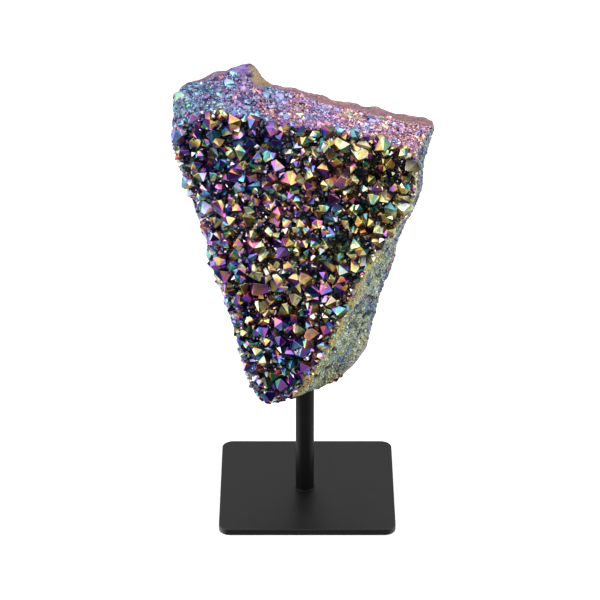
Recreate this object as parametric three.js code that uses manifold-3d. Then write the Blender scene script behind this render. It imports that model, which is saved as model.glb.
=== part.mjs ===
// An aura quartz geode piece on a display stand.
// A square steel plate carries a round rod, and the rod's upper end is glued into a hole
// drilled in the underside of a wedge of geode wall. The wedge's front is a druse of
// quartz crystals, its top is a broken face, and its right side and back are rough rind.
// Millimetres, +Z up, +X to the viewer's right, +Y away from the viewer.
// The origin is the centre of the plate's underside.
import * as THREE from "three";
import { mergeVertices } from "three/addons/utils/BufferGeometryUtils.js";
import Module from "manifold-3d";

const wasm = await Module();
wasm.setup();

// ---------------------------------------------------------------- stand
const PLATE_SIDE = 76;
const PLATE_THICK = 3;
const PLATE_CORNER_R = 5;
const PLATE_EDGE = 0.5;
const CORNER_STEPS = 5;

const ROD_R = 4;
const ROD_X = -1;
const ROD_Y = -2;
const ROD_TOP = 74;
const ROD_CHAMFER = 0.8;
const ROD_SIDES = 20;
const WELD_LEG = 0.6;
const WELD_WAIST = 0.18;
const HOLE_CLEARANCE = 0.3;
const HOLE_SIDES = 24;

// ---------------------------------------------------------------- stone
// Stations run clockwise round the stone as the crystal face is looked at, from the
// upper left corner. rim is the arris where the crystals stop, and edge is the widest
// outline behind it. Each is [x, y, z].
const STATIONS = [
  { rim: [-52.0, -11, 181.0], edge: [-54.8, -2, 184.6] },
  { rim: [-47.0, -14, 185.2], edge: [-51.4, 5, 190.4] },
  { rim: [-40.0, -15, 187.2], edge: [-42.4, 10, 192.2] },
  { rim: [-32.0, -15, 187.0], edge: [-34.0, 14, 193.4] },
  { rim: [-26.0, -15, 186.0], edge: [-27.4, 16, 193.4] },
  { rim: [-21.5, -15, 184.6], edge: [-22.0, 17, 193.0] },
  { rim: [-17.0, -15, 183.2], edge: [-17.6, 17, 187.4] },
  { rim: [-11.0, -15, 182.2], edge: [-11.0, 16, 183.8] },
  { rim: [1.0, -15, 181.0], edge: [0.6, 16, 181.4] },
  { rim: [12.0, -15, 179.6], edge: [13.0, 16, 177.9] },
  { rim: [25.0, -15, 176.2], edge: [29.0, 16, 176.2] },
  { rim: [38.0, -14, 171.6], edge: [47.0, 16, 170.6] },
  { rim: [43.5, -13, 168.4], edge: [52.4, 15, 169.2] },
  { rim: [44.5, -13, 163.0], edge: [51.4, 11, 165.6] },
  { rim: [44.5, -13, 154.0], edge: [48.8, 8, 156.0] },
  { rim: [43.5, -14, 148.0], edge: [48.0, 6, 144.0] },
  { rim: [39.0, -15, 139.0], edge: [43.5, 4, 133.5] },
  { rim: [33.0, -16, 131.0], edge: [38.2, 4, 122.5] },
  { rim: [26.5, -16, 120.5], edge: [35.4, 3, 107.5] },
  { rim: [20.0, -16, 107.0], edge: [31.2, 2, 94.5] },
  { rim: [14.0, -16, 93.0], edge: [27.8, 1, 82.0] },
  { rim: [8.0, -15, 79.5], edge: [25.0, 0, 69.5] },
  { rim: [3.5, -14, 70.0], edge: [18.4, 0, 60.4] },
  { rim: [0.5, -13, 63.0], edge: [9.2, -2, 54.8] },
  { rim: [-3.5, -12, 57.0], edge: [-0.5, -5, 51.6] },
  { rim: [-9.5, -12, 53.5], edge: [-8.5, -6, 50.2] },
  { rim: [-16.5, -11, 51.6], edge: [-16.0, -5, 49.0] },
  { rim: [-22.6, -11, 55.5], edge: [-22.4, -4, 53.6] },
  { rim: [-27.0, -11, 70.5], edge: [-27.4, -3, 70.0] },
  { rim: [-31.0, -11, 90.0], edge: [-31.6, -3, 89.5] },
  { rim: [-36.0, -11, 107.5], edge: [-37.8, -3, 107.5] },
  { rim: [-40.0, -11, 127.5], edge: [-43.2, -3, 127.0] },
  { rim: [-44.4, -11, 143.0], edge: [-47.2, -3, 143.0] },
  { rim: [-51.0, -11, 158.0], edge: [-52.2, -3, 158.0] },
  { rim: [-53.8, -11, 171.0], edge: [-55.4, -3, 172.0] },
];
// The middle of the outline, as [x, z], and how many points there are to a station.
const CENTRE = [-3, 138];
const STEPS_PER_STATION = 2;

// The druse floor is hollow in the middle and rolls to the rim's depth near the rim.
const FLOOR_Y = -14.5;
const FLOOR_HOLLOW = 2.2;
const FLOOR_ROLL_POWER = 7;
const FLOOR_RINGS = [0.5, 0.85];

// The back's arris lies in from the edge by the first inset, and by the second for each
// millimetre of depth behind the edge.
const BACK_Y = 19;
const BACK_INSET = [2, 0.42];
const BACK_BULGE = 4.5;
const BACK_RINGS = [0.78, 0.56, 0.34, 0.14];

// Where a ring lies between two arrises, and how far it stands out from their chord.
const BAND_RINGS = [
  [0.33, 0.5],
  [0.67, 0.5],
];
const SIDE_RINGS = [
  [0.33, 1.5],
  [0.67, 1.7],
];

// Each octave of the rind's lumps: its size, its height, and its own seed.
// The lumps are lower on the broken band and the edge than on the side and back.
const LUMPS = [
  [12, 2.2, 11],
  [6, 1.1, 12],
];
const BAND_RELIEF = 0.4;
const EDGE_RELIEF = 0.5;

// ---------------------------------------------------------------- crystals
// Each crystal's foot ring has radius CRYSTAL_R, or BIG_R for a share of them, and is sunk by
// ROOT_DEPTH. Tip height and shift are in foot radii, jitter is in pitches, and tilt is a slope.
const CRYSTAL_PITCH = 5.9;
const CRYSTAL_JITTER = 0.3;
const CRYSTAL_R = [4.3, 5.0];
const BIG_SHARE = 0.2;
const BIG_R = [5.2, 5.8];
const CRYSTAL_TILT = 0.35;
const TIP_HEIGHT = [0.75, 1.1];
const FACE_SKEW = 0.2;
const TIP_SHIFT = 0.25;
const ROOT_DEPTH = 1.6;
// Crystals stand on the floor out to this share of the way to the rim.
const DRUSE_LIMIT = 0.985;
// Rows and columns of crystals run this far from the middle, past the rim on every side.
const DRUSE_REACH = 110;
// Triangles thinner than this are merged into their neighbours.
const SLIVER = 0.03;

// ---------------------------------------------------------------- arithmetic
const lerp = (a, b, t) => a + (b - a) * t;
const mix = (p, q, t) => p.map((v, k) => lerp(v, q[k], t));
const turn = 2 * Math.PI;

// A number from 0 to 1 that whole numbers a, b and c always give.
function chance(a, b, c) {
  let h = Math.imul(a, 374761393) ^ Math.imul(b, 668265263) ^ Math.imul(c, 362437);
  h = Math.imul(h ^ (h >>> 13), 1274126177);
  return ((h ^ (h >>> 16)) >>> 0) / 4294967296;
}

// Smooth noise from -1 to 1: chances at the corners of a cube lattice, blended inside each cube.
function smoothNoise(x, y, z, seed) {
  const cell = [x, y, z].map(Math.floor);
  const [u, v, w] = [x - cell[0], y - cell[1], z - cell[2]].map((f) => f * f * (3 - 2 * f));
  let sum = 0;
  for (let corner = 0; corner < 8; corner++) {
    const [i, j, k] = [corner & 1, (corner >> 1) & 1, corner >> 2];
    const weight = (i ? u : 1 - u) * (j ? v : 1 - v) * (k ? w : 1 - w);
    sum += weight * chance(cell[0] + i + 1000 * seed, cell[1] + j, cell[2] + k);
  }
  return 2 * sum - 1;
}

// A closed Catmull-Rom curve through points, at a place counted in points.
function onLoop(points, place) {
  const n = points.length;
  const i = Math.floor(place);
  const t = place - i;
  const [a, b, c, d] = [-1, 0, 1, 2].map((k) => points[(i + k + n) % n]);
  return b.map((_, k) => {
    const slope = (c[k] - a[k]) / 2;
    const nextSlope = (d[k] - b[k]) / 2;
    const rise = c[k] - b[k];
    return b[k] + t * (slope + t * (3 * rise - 2 * slope - nextSlope + t * (slope + nextSlope - 2 * rise)));
  });
}

// ---------------------------------------------------------------- solids
// Joins shared vertices and gives the manifold-3d solid of a closed geometry.
function toSolid(geometry) {
  const bare = geometry.index ? geometry.toNonIndexed() : geometry.clone();
  bare.deleteAttribute("normal");
  bare.deleteAttribute("uv");
  const merged = mergeVertices(bare, 1e-4);
  return new wasm.Manifold(
    new wasm.Mesh({
      numProp: 3,
      vertProperties: merged.attributes.position.array,
      triVerts: new Uint32Array(merged.index.array),
    }),
  );
}

function toGeometry(solid) {
  const { vertProperties, triVerts } = solid.getMesh();
  const geometry = new THREE.BufferGeometry();
  geometry.setAttribute("position", new THREE.BufferAttribute(vertProperties, 3));
  geometry.setIndex(new THREE.BufferAttribute(triVerts, 1));
  geometry.computeVertexNormals();
  return geometry;
}

function fromPoints(points, triangles) {
  const geometry = new THREE.BufferGeometry();
  geometry.setAttribute("position", new THREE.Float32BufferAttribute(points.flat(), 3));
  geometry.setIndex(triangles.flat());
  return geometry;
}

// ---------------------------------------------------------------- base plate
// A square with round corners, extruded with a small chamfer all round.
function plateGeometry() {
  const half = PLATE_SIDE / 2;
  const straight = half - PLATE_CORNER_R;
  const outline = new THREE.Shape();
  outline.moveTo(-straight, -half);
  outline.lineTo(straight, -half);
  outline.absarc(straight, -straight, PLATE_CORNER_R, -turn / 4, 0);
  outline.lineTo(half, straight);
  outline.absarc(straight, straight, PLATE_CORNER_R, 0, turn / 4);
  outline.lineTo(-straight, half);
  outline.absarc(-straight, straight, PLATE_CORNER_R, turn / 4, turn / 2);
  outline.lineTo(-half, -straight);
  outline.absarc(-straight, -straight, PLATE_CORNER_R, turn / 2, (3 * turn) / 4);
  const geometry = new THREE.ExtrudeGeometry(outline, {
    depth: PLATE_THICK - 2 * PLATE_EDGE,
    bevelThickness: PLATE_EDGE,
    bevelSize: PLATE_EDGE,
    bevelOffset: -PLATE_EDGE,
    bevelSegments: 1,
    curveSegments: CORNER_STEPS,
  });
  geometry.translate(0, 0, PLATE_EDGE);
  return geometry;
}

// ---------------------------------------------------------------- rod
// A round bar with a small weld fillet at its foot and a chamfer at its glued end.
function rodGeometry() {
  const profile = [
    [0, PLATE_THICK],
    [ROD_R + WELD_LEG, PLATE_THICK],
    [ROD_R + WELD_WAIST, PLATE_THICK + WELD_WAIST],
    [ROD_R, PLATE_THICK + WELD_LEG],
    [ROD_R, ROD_TOP - ROD_CHAMFER],
    [ROD_R - ROD_CHAMFER, ROD_TOP],
    [0, ROD_TOP],
  ].map(([r, z]) => new THREE.Vector2(r, z));
  const geometry = new THREE.LatheGeometry(profile, ROD_SIDES);
  geometry.rotateX(turn / 4);
  geometry.translate(ROD_X, ROD_Y, 0);
  return geometry;
}

// ---------------------------------------------------------------- stone body
// The stone is a stack of closed rings, from a point in the middle of the druse floor,
// out to the rim, back over the band to the edge, round the side, and in to a point on the back.
const PLACES = STATIONS.length * STEPS_PER_STATION;
const rimAt = (place) => onLoop(STATIONS.map((s) => s.rim), place);
const edgeAt = (place) => onLoop(STATIONS.map((s) => s.edge), place);

// The back's arris: the edge drawn in towards the middle, further where the side is deeper.
function backAt(place) {
  const [x, y, z] = edgeAt(place);
  const [dx, dz] = [x - CENTRE[0], z - CENTRE[1]];
  const inset = BACK_INSET[0] + BACK_INSET[1] * (BACK_Y - y);
  const keep = 1 - inset / Math.hypot(dx, dz);
  return [CENTRE[0] + dx * keep, BACK_Y, CENTRE[1] + dz * keep];
}

// The floor's depth, where share is 0 in the middle and 1 at the rim.
function floorY(share, rimY) {
  const roll = share ** FLOOR_ROLL_POWER;
  return lerp(FLOOR_Y + FLOOR_HOLLOW * (1 - share * share), rimY, roll);
}

function floorRing(share) {
  return (place) => {
    const [x, y, z] = rimAt(place);
    return [lerp(CENTRE[0], x, share), floorY(share, y), lerp(CENTRE[1], z, share)];
  };
}

function backRing(share) {
  return (place) => {
    const [x, y, z] = backAt(place);
    const bulge = BACK_BULGE * (1 - share * share);
    return [lerp(CENTRE[0], x, share), y + bulge, lerp(CENTRE[1], z, share)];
  };
}

// A ring between two others, pushed out from the middle of the stone.
function betweenRings(near, far, share, push) {
  return (place) => {
    const point = mix(near(place), far(place), share);
    const [dx, dz] = [point[0] - CENTRE[0], point[2] - CENTRE[1]];
    const reach = Math.hypot(dx, dz);
    return [point[0] + (push * dx) / reach, point[1], point[2] + (push * dz) / reach];
  };
}

// Raises or sinks a rind point by its lumps. facing turns the way it moves, from 0, out from
// the middle of the stone's outline, to 1, straight back.
function withLumps(point, relief, facing) {
  const [dx, dz] = [point[0] - CENTRE[0], point[2] - CENTRE[1]];
  const reach = Math.hypot(dx, dz) || 1;
  const out = [(1 - facing) * (dx / reach), facing, (1 - facing) * (dz / reach)];
  const rise = LUMPS.reduce(
    (sum, [size, height, seed]) => sum + height * smoothNoise(...point.map((v) => v / size), seed),
    0,
  );
  return point.map((v, k) => v + (relief * rise * out[k]) / Math.hypot(...out));
}

// Each ring has its curve, how high its lumps are and which way they face, and how many
// places its points stand apart.
function stoneGeometry() {
  const ring = (at, relief, facing, stride = 1) => ({ at, relief, facing, stride });
  const rings = [
    ...FLOOR_RINGS.map((share) => ring(floorRing(share), 0, 0)),
    ring(rimAt, 0, 0),
    ...BAND_RINGS.map(([share, push]) => ring(betweenRings(rimAt, edgeAt, share, push), BAND_RELIEF, 0)),
    ring(edgeAt, EDGE_RELIEF, 0),
    ...SIDE_RINGS.map(([share, push]) => ring(betweenRings(edgeAt, backAt, share, push), 1, 0)),
    ring(backAt, 1, 0.5),
    ...BACK_RINGS.map((share) => ring(backRing(share), 1, 1, 2)),
  ];
  const points = [[CENTRE[0], floorY(0, 0), CENTRE[1]]];
  const starts = [];
  for (const { at, relief, facing, stride } of rings) {
    starts.push(points.length);
    for (let k = 0; k < PLACES; k += stride) {
      points.push(withLumps(at(k / STEPS_PER_STATION), relief, facing));
    }
  }
  points.push(withLumps([CENTRE[0], BACK_Y + BACK_BULGE, CENTRE[1]], 1, 1));

  const index = (n, k) => starts[n] + Math.floor((k % PLACES) / rings[n].stride);
  const last = rings.length - 1;
  const triangles = [];
  for (let k = 0; k < PLACES; k++) {
    triangles.push([0, index(0, k + 1), index(0, k)]);
    for (let n = 0; n < last; n++) {
      triangles.push([index(n, k), index(n + 1, k + 1), index(n + 1, k)]);
      triangles.push([index(n, k), index(n, k + 1), index(n + 1, k + 1)]);
    }
    triangles.push([points.length - 1, index(last, k), index(last, k + 1)]);
  }
  const hasArea = ([a, b, c]) => a !== b && b !== c && c !== a;
  return fromPoints(points, triangles.filter(hasArea));
}

// ---------------------------------------------------------------- druse
// The rim seen from the front: direction and distance from the middle, and depth, in order
// of direction.
const RIM_FAN = Array.from({ length: PLACES }, (_, k) => {
  const [x, y, z] = rimAt(k / STEPS_PER_STATION);
  const [dx, dz] = [x - CENTRE[0], z - CENTRE[1]];
  return { angle: Math.atan2(dz, dx), reach: Math.hypot(dx, dz), y };
}).sort((a, b) => a.angle - b.angle);

function rimTowards(angle) {
  const n = RIM_FAN.length;
  let next = RIM_FAN.findIndex((r) => r.angle > angle);
  if (next < 0) next = n;
  const a = RIM_FAN[(next - 1 + n) % n];
  const b = RIM_FAN[next % n];
  const span = (b.angle - a.angle + turn) % turn;
  const t = ((angle - a.angle + turn) % turn) / span;
  return { reach: lerp(a.reach, b.reach, t), y: lerp(a.y, b.y, t) };
}

// How far out towards the rim a place on the druse is, and the floor's depth there.
function floorAt(x, z) {
  const [dx, dz] = [x - CENTRE[0], z - CENTRE[1]];
  const rim = rimTowards(Math.atan2(dz, dx));
  const share = Math.hypot(dx, dz) / rim.reach;
  return { share, y: floorY(share, rim.y) };
}

// A quartz crystal: a six-faced point, with its foot ring sunk in the stone.
// Wide and narrow faces take turns and the tip is off centre, so no two faces are alike.
function crystalSolid(foot, axis, size) {
  const pole = new THREE.Vector3(...axis).normalize();
  const across = new THREE.Vector3(0, 0, 1).cross(pole).normalize();
  const up = new THREE.Vector3().crossVectors(pole, across);
  const base = new THREE.Vector3(...foot);
  const place = (r, angle, height) =>
    base
      .clone()
      .addScaledVector(across, r * Math.cos(angle))
      .addScaledVector(up, r * Math.sin(angle))
      .addScaledVector(pole, height)
      .toArray();
  const points = [];
  for (let k = 0; k < 6; k++) {
    const widen = (k % 2 ? 1 : -1) * size.skew;
    points.push(place(size.r, size.spin + (k * turn) / 6 + widen, -ROOT_DEPTH));
  }
  points.push(place(size.tipShift * size.r, size.tipAngle, size.height));
  const triangles = [];
  for (let k = 0; k < 6; k++) {
    triangles.push([k, (k + 1) % 6, 6]);
    if (k > 0 && k < 5) triangles.push([0, k + 1, k]);
  }
  return toSolid(fromPoints(points, triangles));
}

// Crystals stand on a jittered hexagonal pattern, square to the floor but for a lean of their own.
function druseSolids() {
  const solids = [];
  const rowPitch = (CRYSTAL_PITCH * Math.sqrt(3)) / 2;
  const span = Math.ceil(DRUSE_REACH / CRYSTAL_PITCH);
  for (let row = -span; row <= span; row++) {
    for (let col = -span; col <= span; col++) {
      const draw = (channel) => chance(row, col, channel);
      const jitter = (channel) => (2 * draw(channel) - 1) * CRYSTAL_JITTER * CRYSTAL_PITCH;
      const x = CENTRE[0] + (col + (row % 2 ? 0.5 : 0)) * CRYSTAL_PITCH + jitter(1);
      const z = CENTRE[1] + row * rowPitch + jitter(2);
      const { share, y } = floorAt(x, z);
      if (share > DRUSE_LIMIT) continue;
      const step = 0.5;
      const slopeX = (floorAt(x + step, z).y - floorAt(x - step, z).y) / (2 * step);
      const slopeZ = (floorAt(x, z + step).y - floorAt(x, z - step).y) / (2 * step);
      const lean = CRYSTAL_TILT * Math.sqrt(draw(3));
      const leanAngle = turn * draw(4);
      const axis = [slopeX + lean * Math.cos(leanAngle), -1, slopeZ + lean * Math.sin(leanAngle)];
      const [low, high] = draw(5) < BIG_SHARE ? BIG_R : CRYSTAL_R;
      const r = lerp(low, high, draw(6));
      const size = {
        r,
        spin: (turn / 6) * draw(7),
        height: r * lerp(...TIP_HEIGHT, draw(8)),
        skew: FACE_SKEW * draw(9),
        tipShift: TIP_SHIFT * draw(10),
        tipAngle: turn * draw(11),
      };
      solids.push(crystalSolid([x, y, z], axis, size));
    }
  }
  return solids;
}

// ---------------------------------------------------------------- geode
// The stone with its crystals grown on, drilled from below for the rod.
function geodeGeometry() {
  const holeR = ROD_R + HOLE_CLEARANCE;
  const drill = new THREE.CylinderGeometry(holeR, holeR, ROD_TOP, HOLE_SIDES);
  drill.rotateX(turn / 4);
  drill.translate(ROD_X, ROD_Y, ROD_TOP / 2 + HOLE_CLEARANCE);
  const grown = druseSolids().reduce((whole, crystal) => whole.add(crystal), toSolid(stoneGeometry()));
  return toGeometry(grown.subtract(toSolid(drill)).simplify(SLIVER));
}

// ---------------------------------------------------------------- assembly
const blackPaint = new THREE.MeshStandardMaterial({ color: 0x242424, roughness: 0.55, metalness: 0.2 });
const auraFilm = new THREE.MeshStandardMaterial({ color: 0x7a5a9c, roughness: 0.25, metalness: 0.9 });

function part(name, geometry, material) {
  const mesh = new THREE.Mesh(geometry, material);
  mesh.name = name;
  return mesh;
}

const group = new THREE.Group();
group.add(
  part("base_plate", plateGeometry(), blackPaint),
  part("rod", rodGeometry(), blackPaint),
  part("geode", geodeGeometry(), auraFilm),
);

export default group;
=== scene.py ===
import math

import bpy
import numpy as np
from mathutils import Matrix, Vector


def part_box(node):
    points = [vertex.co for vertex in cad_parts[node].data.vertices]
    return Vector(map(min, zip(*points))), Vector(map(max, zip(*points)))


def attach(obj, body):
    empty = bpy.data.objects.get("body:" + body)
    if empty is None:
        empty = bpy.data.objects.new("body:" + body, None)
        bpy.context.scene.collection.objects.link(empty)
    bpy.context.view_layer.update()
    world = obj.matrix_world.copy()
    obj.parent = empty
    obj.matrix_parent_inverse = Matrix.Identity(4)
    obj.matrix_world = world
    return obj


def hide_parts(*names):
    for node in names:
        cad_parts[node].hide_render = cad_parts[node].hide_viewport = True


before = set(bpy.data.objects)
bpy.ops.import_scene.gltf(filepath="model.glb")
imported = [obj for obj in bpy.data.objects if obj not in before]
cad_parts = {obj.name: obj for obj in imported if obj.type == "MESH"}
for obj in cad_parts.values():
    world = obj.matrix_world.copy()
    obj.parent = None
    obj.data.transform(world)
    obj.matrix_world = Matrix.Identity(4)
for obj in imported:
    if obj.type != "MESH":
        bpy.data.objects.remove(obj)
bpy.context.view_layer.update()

MM = 0.001

# ---------------------------------------------------------------------------- camera
# A long lens 1.2 m from the stone, above it and looking down on it, so that the crystal face,
# the broken top and the plate's top face all show.
CAMERA_PLACE = (-3.1 * MM, -1118.8 * MM, 672.2 * MM)
CAMERA_DOWN = 27.33
LENS = 177.65

camera = bpy.data.objects.new("camera", bpy.data.cameras.new("camera"))
bpy.context.scene.collection.objects.link(camera)
camera.location = CAMERA_PLACE
camera.rotation_euler = (math.radians(90 - CAMERA_DOWN), 0, 0)
camera.data.sensor_width = 36
camera.data.lens = LENS
camera.data.clip_start = 0.1
camera.data.clip_end = 20
bpy.context.scene.camera = camera
bpy.context.scene.view_settings.view_transform = "Standard"

# ---------------------------------------------------------------------------- floor and light
# A plain pale floor in even light. What the glossy surfaces mirror is a dim room with soft
# panels in it, so that one flat facet shows a panel and the next is nearly black.
FLOOR_HALF = 3.0
FLOOR_TINT = (0.95, 0.95, 0.95, 1)
FLOOR_GLOW = 0.5
EVEN_LIGHT = 1.12
ROOM_LIGHT = 0.34
# Each panel: the direction it lies in, the cosines where it fades out and is full, its light.
PANELS = (
    ((0.0, 0.15, 1.0), 0.62, 0.86, 2.4),
    ((-0.80, -0.30, 0.50), 0.78, 0.94, 3.6),
    ((0.85, -0.25, 0.45), 0.80, 0.94, 2.9),
    ((0.0, -0.90, 0.45), 0.92, 0.985, 1.7),
    ((-0.85, -0.15, -0.45), 0.84, 0.96, 2.2),
    ((0.80, -0.20, -0.50), 0.88, 0.97, 1.3),
    ((0.0, -0.60, -0.80), 0.88, 0.97, 0.4),
    ((-0.70, 0.60, -0.35), 0.70, 0.90, 1.6),
    ((0.75, 0.50, -0.35), 0.70, 0.90, 1.1),
)


class Nodes:
    """Short ways to make the nodes of one tree. An input is a number, a colour or an output of
    another node, and patterns are read at the tree's own coordinates."""

    def __init__(self, tree):
        self.tree = tree
        self.coordinates = self.node("ShaderNodeTexCoord").outputs

    def fill(self, node, inputs):
        """Sets a node's inputs, or links them, by their names or numbers."""
        for key, value in inputs.items():
            if isinstance(value, bpy.types.NodeSocket):
                self.tree.links.new(value, node.inputs[key])
            else:
                node.inputs[key].default_value = value

    def node(self, kind, inputs=None, **settings):
        """A new node with its inputs filled and its settings made."""
        made = self.tree.nodes.new(kind)
        for key, value in settings.items():
            setattr(made, key, value)
        self.fill(made, inputs or {})
        return made

    def noise(self, scale, detail=2.0, where=None):
        """Noise of so many lumps to a metre, from 0 to 1."""
        place = self.coordinates["Object"] if where is None else where
        inputs = {"Scale": scale, "Detail": detail, "Vector": place}
        return self.node("ShaderNodeTexNoise", inputs).outputs["Fac"]

    def span(self, value, from_low, from_high, low, high, **settings):
        """A value's way between two limits, carried over to two others."""
        limits = {"From Min": from_low, "From Max": from_high, "To Min": low, "To Max": high}
        return self.node("ShaderNodeMapRange", {"Value": value, **limits}, **settings).outputs["Result"]

    def math(self, operation, a, b):
        """The sum, product or larger of two numbers."""
        return self.node("ShaderNodeMath", {0: a, 1: b}, operation=operation).outputs[0]

    def mixed(self, share, a, b):
        """A colour that lies a share of the way from a to b."""
        return self.node("ShaderNodeMix", {0: share, 6: a, 7: b}, data_type="RGBA").outputs[2]

    def attribute(self, name):
        """A number that the piece's mesh holds for each point or corner."""
        return self.node("ShaderNodeAttribute", attribute_name=name).outputs["Fac"]

    def bump(self, height, strength, distance):
        """Normals leant by the slopes of a height."""
        inputs = {"Height": height, "Strength": strength, "Distance": distance}
        return self.node("ShaderNodeBump", inputs).outputs["Normal"]


def new_material(name):
    """A new material, the maker of its nodes and its shader."""
    material = bpy.data.materials.new(name)
    material.use_nodes = True
    tree = material.node_tree
    return material, Nodes(tree), tree.nodes["Principled BSDF"]


floor = bpy.data.objects.new("floor", bpy.data.meshes.new("floor"))
floor.data.from_pydata(
    [(x * FLOOR_HALF, y * FLOOR_HALF, 0) for x, y in ((-1, -1), (1, -1), (1, 1), (-1, 1))],
    [],
    [(0, 1, 2, 3)],
)
bpy.context.scene.collection.objects.link(floor)
floor_paint, nodes, shader = new_material("floor_paint")
nodes.fill(
    shader,
    {
        "Base Color": FLOOR_TINT,
        "Roughness": 0.9,
        "Specular IOR Level": 0.0,
        "Emission Color": FLOOR_TINT,
        "Emission Strength": FLOOR_GLOW,
    },
)
floor.data.materials.append(floor_paint)
floor.visible_glossy = False

room = bpy.data.worlds.new("room")
bpy.context.scene.world = room
room.use_nodes = True
nodes = Nodes(room.node_tree)
mirrored = ROOM_LIGHT
for axis, fades, full, light in PANELS:
    inputs = {0: nodes.coordinates["Generated"], 1: np.array(axis) / np.linalg.norm(axis)}
    towards = nodes.node("ShaderNodeVectorMath", inputs, operation="DOT_PRODUCT").outputs["Value"]
    panel = nodes.span(towards, fades, full, 0, light, interpolation_type="SMOOTHSTEP")
    mirrored = nodes.math("ADD", mirrored, panel)
is_mirrored = nodes.node("ShaderNodeLightPath").outputs["Is Glossy Ray"]
strength = nodes.node("ShaderNodeMix", {0: is_mirrored, 2: EVEN_LIGHT, 3: mirrored}, data_type="FLOAT")
background = room.node_tree.nodes["Background"]
nodes.fill(background, {"Color": (1, 1, 1, 1), "Strength": strength.outputs[0]})

# ---------------------------------------------------------------------------- base plate
# A square of 3 mm sheet steel with round corners and slightly rounded edges, coated in satin
# black powder paint, which dries with a faint orange-peel surface.
PLATE_CORNER = 5 * MM
PLATE_EDGE = 0.5 * MM
EDGE_STEPS = 6
CORNER_STEPS = 14
# Rings inside the rounded edges, below and above, which keep both faces shaded flat.
LOWER_INSET = 1.5 * MM
UPPER_INSETS = (1.0 * MM, 3.0 * MM)
BLACK = (0.0050, 0.0050, 0.0053, 1)


def stack(name, rings):
    """A closed surface through rings of points, an array of shape (rings, around, 3). Quads join
    each ring to the next, and a fan to the mean of a ring's points closes each end."""
    count, around = rings.shape[:2]
    points = np.concatenate([rings.reshape(-1, 3), rings[[0, -1]].mean(axis=1)])
    grid = np.arange(count * around).reshape(count, around)
    after = np.roll(grid, -1, axis=1)
    quads = np.stack([grid[:-1], after[:-1], after[1:], grid[1:]], axis=-1).reshape(-1, 4)
    first, last = np.full(around, count * around), np.full(around, count * around + 1)
    fans = np.concatenate(
        [
            np.stack([first, after[0], grid[0]], axis=-1),
            np.stack([last, grid[-1], after[-1]], axis=-1),
        ]
    )
    mesh = bpy.data.meshes.new(name)
    mesh.from_pydata(points.tolist(), [], quads.tolist() + fans.tolist())
    mesh.polygons.foreach_set("use_smooth", np.ones(len(mesh.polygons), bool))
    piece = bpy.data.objects.new(name, mesh)
    bpy.context.scene.collection.objects.link(piece)
    return piece


def rounded_square(half, corner, z):
    """A ring at height z: four quarter circles of radius corner, whose middles are half less
    corner from the axis, run anticlockwise from the middle of the first corner."""
    turns = np.linspace(0, math.pi / 2, CORNER_STEPS)[None, :] + np.arange(4)[:, None] * math.pi / 2
    middle = np.arange(4)[:, None] * math.pi / 2 + math.pi / 4
    reach = (half - corner) * math.sqrt(2)
    x = reach * np.cos(middle) + corner * np.cos(turns)
    y = reach * np.sin(middle) + corner * np.sin(turns)
    return np.stack([x.ravel(), y.ravel(), np.full(x.size, z)], axis=-1)


def satin_black(name, shine):
    """Powder paint: near black, its gloss and its orange peel both uneven by noise, and shine the
    strength of its mirroring."""
    material, nodes, shader = new_material(name)
    gloss = nodes.span(nodes.noise(60, 3), 0.3, 0.7, 0.34, 0.46)
    peel = nodes.bump(nodes.noise(1400), 0.25, 0.08 * MM)
    inputs = {"Base Color": BLACK, "Roughness": gloss, "Normal": peel, "Specular IOR Level": shine}
    nodes.fill(shader, inputs)
    return material


plate_low, plate_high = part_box("base_plate")
plate_half = (plate_high.x - plate_low.x) / 2
lower_turns = np.linspace(-math.pi / 2, 0, EDGE_STEPS)
upper_turns = np.linspace(0, math.pi / 2, EDGE_STEPS)
inset = PLATE_EDGE * (1 - np.cos(np.concatenate([lower_turns, upper_turns])))
level = np.concatenate(
    [
        plate_low.z + PLATE_EDGE * (1 + np.sin(lower_turns)),
        plate_high.z - PLATE_EDGE * (1 - np.sin(upper_turns)),
    ]
)
inset = np.concatenate([[LOWER_INSET], inset, UPPER_INSETS])
level = np.concatenate([[plate_low.z], level, [plate_high.z, plate_high.z]])
plate = stack(
    "base_plate_painted",
    np.stack([rounded_square(plate_half - i, PLATE_CORNER - i, z) for i, z in zip(inset, level)]),
)
plate.data.materials.append(satin_black("plate_paint", 0.235))
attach(plate, "root")
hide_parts("base_plate")

# ---------------------------------------------------------------------------- rod
# An 8 mm round bar, painted with the plate. A small weld flares its foot, and its chamfered
# upper end is out of sight in the stone.
ROD_R = 4 * MM
ROD_CHAMFER = 0.8 * MM
WELD_LEG = 0.35 * MM
WELD_STEPS = 6
ROD_SIDES = 64

rod_low, rod_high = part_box("rod")
rod_x, rod_y = (rod_low.x + rod_high.x) / 2, (rod_low.y + rod_high.y) / 2
weld_turns = np.linspace(0, math.pi / 2, WELD_STEPS)
rod_r = np.concatenate(
    [
        ROD_R + WELD_LEG * (1 - np.sin(weld_turns)),
        [ROD_R, ROD_R, ROD_R - ROD_CHAMFER],
    ]
)
rod_z = np.concatenate(
    [
        rod_low.z + WELD_LEG * (1 - np.cos(weld_turns)),
        [rod_low.z + 2 * WELD_LEG, rod_high.z - ROD_CHAMFER, rod_high.z],
    ]
)
around = np.linspace(0, 2 * math.pi, ROD_SIDES, endpoint=False)
rod = stack(
    "rod_painted",
    np.stack(
        [
            rod_x + rod_r[:, None] * np.cos(around),
            rod_y + rod_r[:, None] * np.sin(around),
            rod_z[:, None] + 0 * around,
        ],
        axis=-1,
    ),
)
rod.data.materials.append(satin_black("rod_paint", 0.08))
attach(rod, "root")
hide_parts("rod")

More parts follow.
